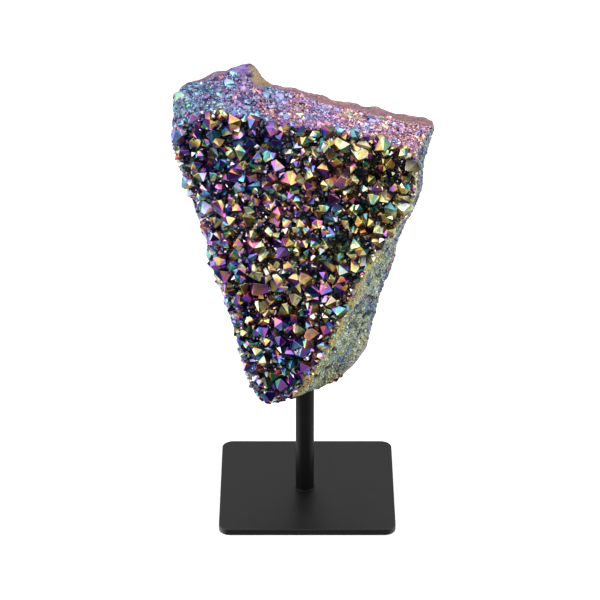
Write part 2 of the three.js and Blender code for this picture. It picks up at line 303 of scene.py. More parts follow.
# ---------------------------------------------------------------------------- stone
# A wedge of a geode's wall. Its front is the floor that the crystals grow on, its top is a
# fresh break of fine sugary quartz, and its right side and back are the old rind, grey,
# grainy and pitted. All of it was coated with the crystals.

# Stations run clockwise round the front from the upper left. The first point of each is on
# the rim, where the crystals stop, and the second on the widest outline behind it.
STATIONS = MM * np.array([
    [(-52.0, -11, 181.0), (-54.8, -2, 184.6)],
    [(-47.0, -14, 185.2), (-51.4, 5, 190.4)],
    [(-40.0, -15, 187.2), (-42.4, 10, 192.2)],
    [(-32.0, -15, 187.0), (-34.0, 14, 193.4)],
    [(-26.0, -15, 186.0), (-27.4, 16, 193.4)],
    [(-21.5, -15, 184.6), (-22.0, 17, 193.0)],
    [(-17.0, -15, 183.2), (-17.6, 17, 187.4)],
    [(-11.0, -15, 182.2), (-11.0, 16, 183.8)],
    [(1.0, -15, 181.0), (0.6, 16, 181.4)],
    [(12.0, -15, 179.6), (13.0, 16, 177.9)],
    [(25.0, -15, 176.2), (29.0, 16, 176.2)],
    [(38.0, -14, 171.6), (47.0, 16, 170.6)],
    [(43.5, -13, 168.4), (52.4, 15, 169.2)],
    [(44.5, -13, 163.0), (51.4, 11, 165.6)],
    [(44.5, -13, 154.0), (48.8, 8, 156.0)],
    [(43.5, -14, 148.0), (48.0, 6, 144.0)],
    [(39.0, -15, 139.0), (43.5, 4, 133.5)],
    [(33.0, -16, 131.0), (38.2, 4, 122.5)],
    [(26.5, -16, 120.5), (35.4, 3, 107.5)],
    [(20.0, -16, 107.0), (31.2, 2, 94.5)],
    [(14.0, -16, 93.0), (27.8, 1, 82.0)],
    [(8.0, -15, 79.5), (25.0, 0, 69.5)],
    [(3.5, -14, 70.0), (18.4, 0, 60.4)],
    [(0.5, -13, 63.0), (9.2, -2, 54.8)],
    [(-3.5, -12, 57.0), (-0.5, -5, 51.6)],
    [(-9.5, -12, 53.5), (-8.5, -6, 50.2)],
    [(-16.5, -11, 51.6), (-16.0, -5, 49.0)],
    [(-22.6, -11, 55.5), (-22.4, -4, 53.6)],
    [(-27.0, -11, 70.5), (-27.4, -3, 70.0)],
    [(-31.0, -11, 90.0), (-31.6, -3, 89.5)],
    [(-36.0, -11, 107.5), (-37.8, -3, 107.5)],
    [(-40.0, -11, 127.5), (-43.2, -3, 127.0)],
    [(-44.4, -11, 143.0), (-47.2, -3, 143.0)],
    [(-51.0, -11, 158.0), (-52.2, -3, 158.0)],
    [(-53.8, -11, 171.0), (-55.4, -3, 172.0)],
])
# The broken top lies between these stations, and the crystals wrap round the left flank
# between these.
TOP_PLACES = (-0.9, 12.4)
# The smooth lip along the top's back starts at these depths, given by place.
LIP_STARTS = (
    (0, 3, 4, 4.5, 5, 5.5, 6, 6.5, 7, 8, 9, 12.5),
    (1.94, 1.93, 1.90, 1.80, 1.66, 1.68, 1.86, 1.94, 1.94, 1.87, 1.80, 1.80),
)
FLANK_PLACES = (24.6, 34.6)
# The rind is worn smooth along its lower arris between these places.
WORN_PLACES = (19.4, 23.0)
# Deep pits: place, depth and radius.
PITS = (
    (4.65, 1.87, 1.7 * MM),
    (8.08, 1.52, 1.2 * MM),
    (19.72, 1.72, 2.7 * MM),
    (19.68, 1.48, 1.6 * MM),
    (19.53, 1.30, 1.4 * MM),
    (20.05, 1.73, 1.7 * MM),
    (20.38, 1.70, 1.6 * MM),
    (19.12, 1.71, 1.5 * MM),
    (18.38, 1.62, 1.5 * MM),
    (22.05, 1.37, 1.8 * MM),
    (21.05, 1.20, 1.4 * MM),
    (22.75, 1.25, 1.6 * MM),
    (13.28, 1.34, 1.7 * MM),
    (12.75, 1.36, 1.5 * MM),
    (14.00, 1.60, 1.7 * MM),
)
PIT_DEPTH = 1.2 * MM
MIDDLE = np.array([-3 * MM, 0, 138 * MM])
FLOOR_Y = -14.5 * MM
FLOOR_HOLLOW = 2.2 * MM
FLOOR_ROLL = 7
BACK_Y = 19 * MM
BACK_INSET = (2 * MM, 0.42)
BACK_BULGE = 4.5 * MM
BAND_PUSH = 0.58 * MM
SIDE_PUSH = 1.8 * MM
# Lumps: the width, height and seed of each noise.
LUMPS = ((12 * MM, 2.2 * MM, 11), (6 * MM, 1.1 * MM, 12))
# How much of the lumps shows at each depth.
RELIEF = ((1, 1.33, 1.67, 2, 2.33, 4), (0, 0.4, 0.4, 0.5, 1, 1))
AROUND = 620
FLOOR_RINGS, BAND_RINGS, SIDE_RINGS, BACK_RINGS = 12, 48, 32, 46


def chance(a, b, c):
    """A number from 0 to 1 that whole numbers a, b and c always give: their products with three
    primes, joined by exclusive or and mixed by two shifts and a product, in 32 bits."""
    low = 0xFFFFFFFF
    a, b, c = (np.asarray(v).astype(np.int64) & low for v in (a, b, c))
    h = (a * 374761393 & low) ^ (b * 668265263 & low) ^ (c * 362437 & low)
    h = ((h ^ (h >> 13)) * 1274126177) & low
    return (h ^ (h >> 16)) / 2**32


def smooth_noise(points, size, seed):
    """Noise from -1 to 1: chances at the corners of a lattice of cubes as wide as size, blended
    inside each cube by the smooth step of each coordinate."""
    scaled = points / size
    cell = np.floor(scaled).astype(np.int64)
    near = scaled - cell
    near = near * near * (3 - 2 * near)
    total = np.zeros(points.shape[:-1])
    for corner in range(8):
        step = np.array([corner & 1, (corner >> 1) & 1, corner >> 2])
        weight = np.prod(np.where(step, near, 1 - near), axis=-1)
        x, y, z = np.moveaxis(cell + step, -1, 0)
        total += weight * chance(x + 1000 * seed, y, z)
    return 2 * total - 1


def on_loop(points, place):
    """A closed Catmull-Rom curve through points, at places counted in points."""
    start = np.floor(place).astype(int)
    t = (place - start)[..., None]
    a, b, c, d = (points[(start + k) % len(points)] for k in (-1, 0, 1, 2))
    slope, next_slope, rise = (c - a) / 2, (d - b) / 2, c - b
    return b + t * (slope + t * (3 * rise - 2 * slope - next_slope + t * (slope + next_slope - 2 * rise)))


def unit(vectors):
    """Vectors divided by their lengths."""
    return vectors / np.maximum(np.linalg.norm(vectors, axis=-1, keepdims=True), 1e-12)


def outward(points):
    """The unit vectors that point out of the stone's outline, seen from the front."""
    return unit((points - MIDDLE) * (1, 0, 1))


def stone_form(place, depth):
    """The stone's smooth form. place runs round the stations. depth is 0 in the middle of the
    druse floor, 1 on the rim, 2 on the edge, 3 on the back's arris and 4 in its middle. Each
    stretch is a straight blend of its two curves with a bow added, and lumps of noise push it
    out of the outline, or backwards on the back."""
    rim, edge = on_loop(STATIONS[:, 0], place), on_loop(STATIONS[:, 1], place)
    reach = np.linalg.norm((edge - MIDDLE) * (1, 0, 1), axis=-1)
    inset = BACK_INSET[0] + BACK_INSET[1] * (BACK_Y - edge[..., 1])
    arris = MIDDLE + (edge - MIDDLE) * (1 - inset / reach)[..., None]
    arris[..., 1] = BACK_Y
    t = (depth % 1)[..., None]
    floor_share = np.clip(depth, 0, 1)
    floor = MIDDLE + (rim - MIDDLE) * floor_share[..., None]
    bowl = FLOOR_Y + FLOOR_HOLLOW * (1 - floor_share**2)
    floor[..., 1] = bowl + (rim[..., 1] - bowl) * floor_share**FLOOR_ROLL
    band = rim + (edge - rim) * t
    band = band + BAND_PUSH * np.sin(math.pi * t) * outward(band)
    side = edge + (arris - edge) * t
    side = side + SIDE_PUSH * np.sin(math.pi * t) * outward(side)
    back_share = np.clip(4 - depth, 0, 1)
    back = MIDDLE + (arris - MIDDLE) * back_share[..., None]
    back[..., 1] = BACK_Y + BACK_BULGE * (1 - back_share**2)
    stretch = np.clip(np.floor(depth), 0, 3)[..., None]
    points = np.select([stretch == 0, stretch == 1, stretch == 2], [floor, band, side], back)
    relief = np.interp(depth, *RELIEF)
    facing = np.interp(depth, (2.67, 3, 3.2), (0, 0.5, 1))[..., None]
    way = unit((1 - facing) * outward(points) + facing * np.array([0, 1, 0]))
    rise = sum(height * smooth_noise(points, size, seed) for size, height, seed in LUMPS)
    return points + (relief * rise)[..., None] * way


def stone_normal(place, depth):
    """Unit vectors square to the stone's form, from its slopes along place and depth."""
    du, dv = 0.05, 0.01
    along = stone_form(place + du, depth) - stone_form(place - du, depth)
    inwards = stone_form(place, np.clip(depth + dv, 0, 4)) - stone_form(place, np.clip(depth - dv, 0, 4))
    return unit(np.cross(along, inwards))


def between(low, high, value):
    """The smooth step of value from low to high."""
    t = np.clip((value - low) / (high - low), 0, 1)
    return t * t * (3 - 2 * t)


def top_place(place):
    """A place counted so that the numbers run on along the whole top, from below zero."""
    return (place + 10) % len(STATIONS) - 10


def is_top(place, depth):
    """How far a point of the stone belongs to the broken top, from 0 to 1. Its ends waver."""
    first, last = TOP_PLACES
    along = top_place(place) + 0.22 * smooth_noise(stone_form(place, depth), 3 * MM, 27)
    ends = between(first - 0.3, first + 0.3, along) * (1 - between(last - 0.2, last + 0.2, along))
    return ends * (depth >= 1) * (1 - between(2.36, 2.50, depth))


def past_lip(place, depth):
    """How far, in depth, a point lies past the wavering start of the lip along the top's back."""
    start = np.interp(top_place(place), *LIP_STARTS)
    return depth - start + 0.03 * smooth_noise(stone_form(place, depth), 2.5 * MM, 28)


def is_worn(place, depth):
    """How far a point of the rind is worn smooth, from 0 to 1, in a patch with wavering sides."""
    waver = smooth_noise(stone_form(place, depth), 6 * MM, 29)
    along = place % len(STATIONS) + 0.9 * waver
    first, last = WORN_PLACES
    along = between(first, first + 1, along) * between(last, last - 1, along)
    return along * between(1.80, 1.96, depth) * between(2.9, 2.5, depth + 0.25 * waver)


def apart_from(place, depth, points):
    """The distances of points from one place and depth of the stone's form."""
    return np.linalg.norm(points - stone_form(np.array([place]), np.array([depth])), axis=-1)


def in_pit(points):
    """How deep points lie in the deep pits, from 0 outside to 1 in a pit's middle."""
    deep = np.zeros(points.shape[:-1])
    for place, depth, radius in PITS:
        apart = apart_from(place, depth, points) * (1 + 0.35 * smooth_noise(points, 1.4 * MM, 26))
        deep = np.maximum(deep, between(1.15 * radius, 0.55 * radius, apart))
    return deep


def in_hollow(points):
    """How deep points lie in the rind's small hollows, from 0 to 1."""
    return between(0.1, 0.8, -smooth_noise(points, 2.3 * MM, 23))


def stone_skin(place, depth):
    """The stone's form with its surface: the rind's grain and hollows, and the broken top's
    hackle, each a sum of noises along the form's normal, with the deep pits pressed in."""
    points = stone_form(place, depth)
    normal = stone_normal(place, depth)
    top = is_top(place, depth)
    rough = between(1.0, 1.06, depth)
    grain = 0.20 * smooth_noise(points, 2.9 * MM, 21) + 0.20 * smooth_noise(points, 1.5 * MM, 22)
    hollows = -0.8 * in_hollow(points)
    hackle = 0.45 * smooth_noise(points, 3.4 * MM, 24) + 0.30 * smooth_noise(points, 1.6 * MM, 25)
    calm = 1 - 0.7 * is_worn(place, depth)
    rise = MM * rough * ((1 - top) * calm * (grain + hollows) + top * hackle) - PIT_DEPTH * in_pit(points)
    return points + rise[..., None] * normal


# Places at even steps of length round the edge, so that the mesh and what is strewn on it
# are even too.
EDGE_PLACES = np.linspace(0, len(STATIONS), 3001)
steps = np.linalg.norm(np.diff(on_loop(STATIONS[:, 1], EDGE_PLACES), axis=0), axis=-1)
EDGE_LENGTHS = np.concatenate([[0], np.cumsum(steps)])


def place_at(length):
    """The place that lies a length along the edge from the first station."""
    whole = EDGE_LENGTHS[-1]
    return np.interp(length % whole, EDGE_LENGTHS, EDGE_PLACES) + np.floor(length / whole) * len(STATIONS)


def length_at(place):
    """The length along the edge from the first station to a place."""
    turns, rest = np.divmod(place, len(STATIONS))
    return np.interp(rest, EDGE_PLACES, EDGE_LENGTHS) + turns * EDGE_LENGTHS[-1]


# Film colours, as the coating gets thicker: each is a position on the scale and a colour. The
# scale's end is its start again.
FILM_SCALE = (
    (0.00, (226, 228, 186)),
    (0.08, (227, 212, 120)),
    (0.17, (207, 176, 76)),
    (0.25, (199, 137, 76)),
    (0.33, (186, 88, 101)),
    (0.39, (180, 67, 153)),
    (0.50, (138, 66, 188)),
    (0.59, (92, 81, 196)),
    (0.67, (69, 118, 193)),
    (0.75, (96, 188, 205)),
    (0.82, (46, 149, 136)),
    (0.89, (93, 158, 106)),
    (0.95, (146, 153, 71)),
    (1.00, (226, 228, 186)),
)


def linear(colour):
    """A colour of three numbers to 255, as the linear light that shaders use, with alpha 1."""
    c = np.array(colour) / 255
    return (*np.where(c <= 0.04045, c / 12.92, ((c + 0.055) / 1.055) ** 2.4), 1)


def colour_ramp(nodes, scale, value):
    """The colour that a value has on a scale of positions and colours, run round and round."""
    share = nodes.node("ShaderNodeMath", {0: value}, operation="FRACT").outputs[0]
    ramp = nodes.node("ShaderNodeValToRGB", {"Fac": share})
    stops = ramp.color_ramp.elements
    while len(stops) < len(scale):
        stops.new(0.5)
    for stop, (position, colour) in zip(stops, scale):
        stop.position, stop.color = position, linear(colour)
    return ramp.outputs["Color"]


def set_attribute(mesh, name, domain, values):
    """Writes an array of numbers to a mesh as a named attribute."""
    mesh.attributes.new(name, "FLOAT", domain).data.foreach_set("value", values.astype(np.float32).ravel())


# More of the mesh's lines run down the right side, where the grainy rind is seen from the front.
RIND_LENGTHS = (150 * MM, 330 * MM)
RIND_SHARE = 0.46
start, end = RIND_LENGTHS
right = np.linspace(start, end, int(AROUND * RIND_SHARE), endpoint=False)
rest = np.linspace(end, start + EDGE_LENGTHS[-1], AROUND - len(right), endpoint=False)
place = place_at(np.concatenate([right, rest]))
depth = np.concatenate(
    [
        np.linspace(0.12, 1, FLOOR_RINGS, endpoint=False),
        np.linspace(1, 2, BAND_RINGS, endpoint=False),
        np.linspace(2, 3, SIDE_RINGS, endpoint=False),
        np.linspace(3, 3.985, BACK_RINGS),
    ]
)
place_grid, depth_grid = np.meshgrid(place, depth)
stone_points = stone_skin(place_grid, depth_grid)
stone = stack("stone", stone_points[:, ::-1])


def as_vertices(grid):
    """Values on the stone's grid in the order of its mesh's points, ends included."""
    turned = grid[:, ::-1]
    return np.concatenate([turned.ravel(), turned[[0, -1]].mean(axis=1)])


rim = stone_form(place_grid, np.ones_like(depth_grid))
from_rim = np.linalg.norm(stone_points - rim, axis=-1)
stone_place = place_grid % len(STATIONS)
lip = between(-0.04, 0.03, past_lip(place_grid, depth_grid)) * (depth_grid < 2.6)
flank = between(2.9, 2.4, depth_grid + 0.3 * smooth_noise(stone_points, 6 * MM, 30))
flank = between(FLANK_PLACES[0] - 0.6, FLANK_PLACES[0] + 0.4, stone_place) * flank
for key, grid in {
    "top": is_top(place_grid, depth_grid),
    "floor": (depth_grid < 0.999).astype(float),
    "seam": 1 - between(0.5 * MM, 6 * MM, from_rim),
    "lip": lip,
    "flank": flank,
    "worn": is_worn(place_grid, depth_grid),
    "pit": in_pit(stone_form(place_grid, depth_grid)),
    "along": length_at(stone_place),
    "inwards": from_rim,
    "hollow": in_hollow(stone_points),
}.items():
    set_attribute(stone.data, key, "POINT", as_vertices(grid))

# Lip colours along x, over this span: mauve-brown, violet at the peak, tan down its slope and
# then rose-brown.
LIP_SPAN = (-0.040, 0.010)
LIP_SCALE = (
    (0.00, (112, 88, 112)),
    (0.10, (122, 96, 124)),
    (0.20, (116, 100, 176)),
    (0.29, (116, 98, 168)),
    (0.35, (170, 144, 84)),
    (0.46, (160, 128, 88)),
    (0.54, (134, 108, 114)),
    (1.00, (151, 112, 114)),
)
# Streaks on the rind are drawn out along the stone and narrow across it.
STREAK_STRETCH = (0.4, 1.6, 1)


def coated_stone(name):
    """Coated rock: on the rind grey-blue and grey-green with gold by the crystals, with navy
    hollows and dark pits of painted shade; on the broken top the film's blues and pinks over fine
    grain, with dark specks of painted shade; and near black on the druse floor, painted shade
    under the crystals."""
    material, nodes, shader = new_material(name)
    noise, span, mixed = nodes.noise, nodes.span, nodes.mixed
    skin = nodes.node(
        "ShaderNodeCombineXYZ",
        {"X": nodes.attribute("along"), "Y": nodes.attribute("inwards")},
    ).outputs[0]
    streaks = nodes.node(
        "ShaderNodeVectorMath",
        {0: skin, 1: STREAK_STRETCH},
        operation="MULTIPLY",
    ).outputs[0]

    def region(key, share):
        """How far a point belongs to one of the mesh's regions, times a share."""
        return nodes.math("MULTIPLY", nodes.attribute(key), share)

    # Rind: grey-blue with navy patches, pale streaks and gold specks, and gold where it meets
    # the crystals. Its worn arris is a smooth grey mauve, and the left flank is violet.
    rind = mixed(span(noise(120, 3), 0.42, 0.62, 0, 1), linear((112, 136, 142)), linear((176, 190, 164)))
    rind = mixed(span(noise(170, 3, streaks), 0.56, 0.70, 0, 0.75), rind, linear((48, 66, 104)))
    rind = mixed(span(noise(800, 2, streaks), 0.52, 0.66, 0, 0.55), rind, linear((192, 202, 184)))
    fine, broad = span(noise(640), 0.46, 0.62, 0, 0.7), span(noise(90), 0.45, 0.7, -0.35, 0.3)
    specks = nodes.math("MAXIMUM", nodes.math("ADD", fine, broad), 0.0)
    rind = mixed(specks, rind, linear((166, 146, 78)))
    gold = mixed(span(noise(150, 1), 0.5, 0.62, 0, 1), linear((190, 172, 56)), linear((188, 156, 70)))
    rind = mixed(region("seam", span(noise(260, 3), 0.36, 0.56, 0.25, 1)), rind, gold)
    # Painted shade: the rind's small hollows darken to navy.
    rind = mixed(region("hollow", 0.75), rind, linear((34, 44, 78)))
    rind = mixed(span(noise(1000), 0.58, 0.68, 0, 0.7), rind, linear((36, 44, 66)))
    mauve = mixed(span(noise(330, 3), 0.40, 0.62, 0, 1), linear((118, 108, 122)), linear((166, 154, 160)))
    rind = mixed(region("worn", 0.85), rind, mauve)
    violet = mixed(span(noise(260, 3), 0.40, 0.62, 0, 1), linear((66, 50, 88)), linear((142, 108, 142)))
    rind = mixed(region("flank", 0.95), rind, violet)

    # Broken top: blue and lavender on the left, rose and gold on the right, in sugary specks, and
    # a smoother dusky lip along the back.
    x = nodes.node("ShaderNodeSeparateXYZ", {0: nodes.coordinates["Object"]}).outputs["X"]
    broad, fine = span(noise(95), 0.3, 0.7, -0.13, 0.13), span(noise(620), 0.3, 0.7, -0.16, 0.16)
    thickness = nodes.math("ADD", span(x, -0.03, 0.045, 0.60, 0.36), nodes.math("ADD", broad, fine))
    top = mixed(0.45, colour_ramp(nodes, FILM_SCALE, thickness), linear((150, 136, 168)))
    lip = colour_ramp(nodes, LIP_SCALE, span(x, *LIP_SPAN, 0, 0.999))
    lip = mixed(span(noise(300, 3), 0.45, 0.7, 0, 0.35), lip, linear((186, 146, 142)))
    lip = mixed(span(noise(420, 3), 0.52, 0.66, 0, 0.6), lip, linear((92, 66, 84)))
    top = mixed(region("lip", 0.92), top, lip)
    # Painted shade: dark specks over the broken top.
    top = mixed(span(noise(1100), 0.56, 0.66, 0, 0.6), top, linear((60, 50, 86)))

    colour = mixed(nodes.attribute("top"), rind, top)
    # Painted shade: the deep pits are near-black navy.
    colour = mixed(nodes.attribute("pit"), colour, linear((14, 26, 62)))
    # Painted shade: the druse floor under the crystals is near black.
    colour = mixed(nodes.attribute("floor"), colour, linear((17, 25, 43)))
    grains = nodes.node(
        "ShaderNodeTexVoronoi",
        {"Scale": 1300, "Vector": nodes.coordinates["Object"]},
    ).outputs["Distance"]
    nodes.fill(
        shader,
        {
            "Base Color": colour,
            "Roughness": span(noise(500), 0.35, 0.65, 0.36, 0.60),
            "Normal": nodes.bump(grains, 0.8, 0.5 * MM),
            "Metallic": 0.5,
        },
    )
    return material


stone.data.materials.append(coated_stone("coated_stone"))
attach(stone, "root")
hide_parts("geode")

# ---------------------------------------------------------------------------- crystals
# Quartz points grown from the floor: a six-sided prism under six faces that meet at a tip,
# the faces uneven. A mirror-bright metal film of uneven thickness colours each face.
# The first growth stands where the solid's crystals do, and the finer ones fill its gaps.

# The solid's crystals: their spacing, jitter, radii, tilt and height in radii.
CRYSTAL_PITCH = 5.9 * MM
CRYSTAL_JITTER = 0.3
CRYSTAL_R = (4.3 * MM, 5.0 * MM)
BIG_SHARE = 0.2
BIG_R = (5.2 * MM, 5.8 * MM)
CRYSTAL_TILT = 0.35
TIP_HEIGHT = (0.75, 1.1)
# They stop at this share of the way to the rim, and none stands further out than the reach.
DRUSE_LIMIT = 0.985
DRUSE_REACH = 110 * MM
# Their depth in the floor, what leans them all upwards, and the width of their worn edges.
ROOT = 1.6 * MM
UPWARD = (0, 0, 0.12)
CRYSTAL_EDGE = 0.14 * MM
# A crystal's mesh has six points at its foot, six at its shoulder and two on its ridge. Its
# faces are six walls, six faces over them and the foot.
POINTS = 14
FACES = 13
TIP_FACES = ((6, 7, 13, 12), (7, 8, 13), (8, 9, 13), (9, 10, 12, 13), (10, 11, 12), (11, 6, 12))
# A pale face, a painted glint, on a small crystal and on a large one is paled by these shares.
GLINT_PALENESS = (0.85, 0.45)
PALE_TINT = (228, 222, 230)
# Painted shade between the crystals: their feet darken to this navy.
FOOT_SHADE_TINT = (30, 44, 74)

fan_points = on_loop(STATIONS[:, 0], np.linspace(0, len(STATIONS), 701)[:-1]) - MIDDLE
fan_angle = np.arctan2(fan_points[:, 2], fan_points[:, 0])
fan_order = np.argsort(fan_angle)
fan_reach = np.hypot(fan_points[:, 0], fan_points[:, 2])
# The rim's angles round the middle in rising order, with its distance and its y at each.
FAN = (fan_angle[fan_order], fan_reach[fan_order], fan_points[fan_order, 1])


def floor_at(x, z):
    """The druse floor under a point seen from the front: its share of the way to the rim, and
    its depth, by the same formula as the stone's form."""
    dx, dz = x - MIDDLE[0], z - MIDDLE[2]
    angle = np.arctan2(dz, dx)
    reach = np.interp(angle, FAN[0], FAN[1], period=2 * math.pi)
    rim_y = np.interp(angle, FAN[0], FAN[2], period=2 * math.pi)
    share = np.hypot(dx, dz) / reach
    bowl = FLOOR_Y + FLOOR_HOLLOW * (1 - share**2)
    return share, bowl + (rim_y - bowl) * np.minimum(share, 1) ** FLOOR_ROLL


def draws(row, col, seed):
    """A maker of each crystal's own draws from its row and column: one number from 0 to 1 for
    each channel."""
    return lambda channel: chance(row + seed, col + seed, channel)


def within(limits, share):
    """The value that lies a share of the way between two limits."""
    return limits[0] + (limits[1] - limits[0]) * share


def aslant(draw, middle):
    """Slopes in x, y and z: three draws less three middle values."""
    return np.stack([draw(31 + k) - middle[k] for k in range(3)], axis=-1)


def druse_sites(pitch, jitter, seed):
    """Feet and floor normals on a jittered hexagonal pattern over the floor, with the crystals'
    own draws."""
    span = math.ceil(DRUSE_REACH / pitch)
    row, col = np.meshgrid(np.arange(-span, span + 1), np.arange(-span, span + 1), indexing="ij")
    row, col = row.ravel(), col.ravel()
    shift = [(2 * chance(row, col, channel + seed) - 1) * jitter * pitch for channel in (1, 2)]
    x = MIDDLE[0] + (col + np.where(row % 2, 0.5, 0)) * pitch + shift[0]
    z = MIDDLE[2] + row * pitch * math.sqrt(3) / 2 + shift[1]
    share, y = floor_at(x, z)
    keep = share <= DRUSE_LIMIT
    x, y, z, row, col = x[keep], y[keep], z[keep], row[keep], col[keep]
    step = 0.5 * MM
    slope_x = (floor_at(x + step, z)[1] - floor_at(x - step, z)[1]) / (2 * step)
    slope_z = (floor_at(x, z + step)[1] - floor_at(x, z - step)[1]) / (2 * step)
    normal = np.stack([slope_x, -np.ones_like(x), slope_z], axis=-1)
    return np.stack([x, y, z], axis=-1), normal, draws(row, col, seed)


def strewn(places, depths, pitch, seed, sunk=0):
    """Points and normals at even spacing, jittered, on the stone between two places and two
    depths, sunk under its skin, with the crystals' own draws and their places. Deep pits are
    left bare, and so are the lip and the worn arris."""
    start, end = length_at(np.array(places))
    middle_place = place_at(np.array([(start + end) / 2]))
    steps = np.linspace(depths[0], depths[1], 21)
    line = stone_form(np.repeat(middle_place, 21), steps)
    width = np.linalg.norm(np.diff(line, axis=0), axis=-1).sum()
    columns, rows = max(int((end - start) / pitch), 1), max(int(width / pitch), 1)
    row, col = np.meshgrid(np.arange(rows), np.arange(columns), indexing="ij")
    row, col = row.ravel(), col.ravel()
    u = (col + 0.5 + 0.9 * (chance(row, col, seed + 1) - 0.5)) / columns
    v = (row + 0.5 + 0.9 * (chance(row, col, seed + 2) - 0.5)) / rows
    place, depth = place_at(start + (end - start) * u), depths[0] + (depths[1] - depths[0]) * v
    bare = np.maximum(between(0, 0.15, in_pit(stone_form(place, depth))), is_worn(place, depth))
    bare = np.maximum(bare, is_top(place, depth) * between(-0.03, 0.02, past_lip(place, depth)))
    keep = bare < 0.15 + 0.7 * chance(row, col, seed + 3)
    place, depth, row, col = place[keep], depth[keep], row[keep], col[keep]
    normal = stone_normal(place, depth)
    return stone_skin(place, depth) - sunk * normal, normal, draws(row, col, seed), place


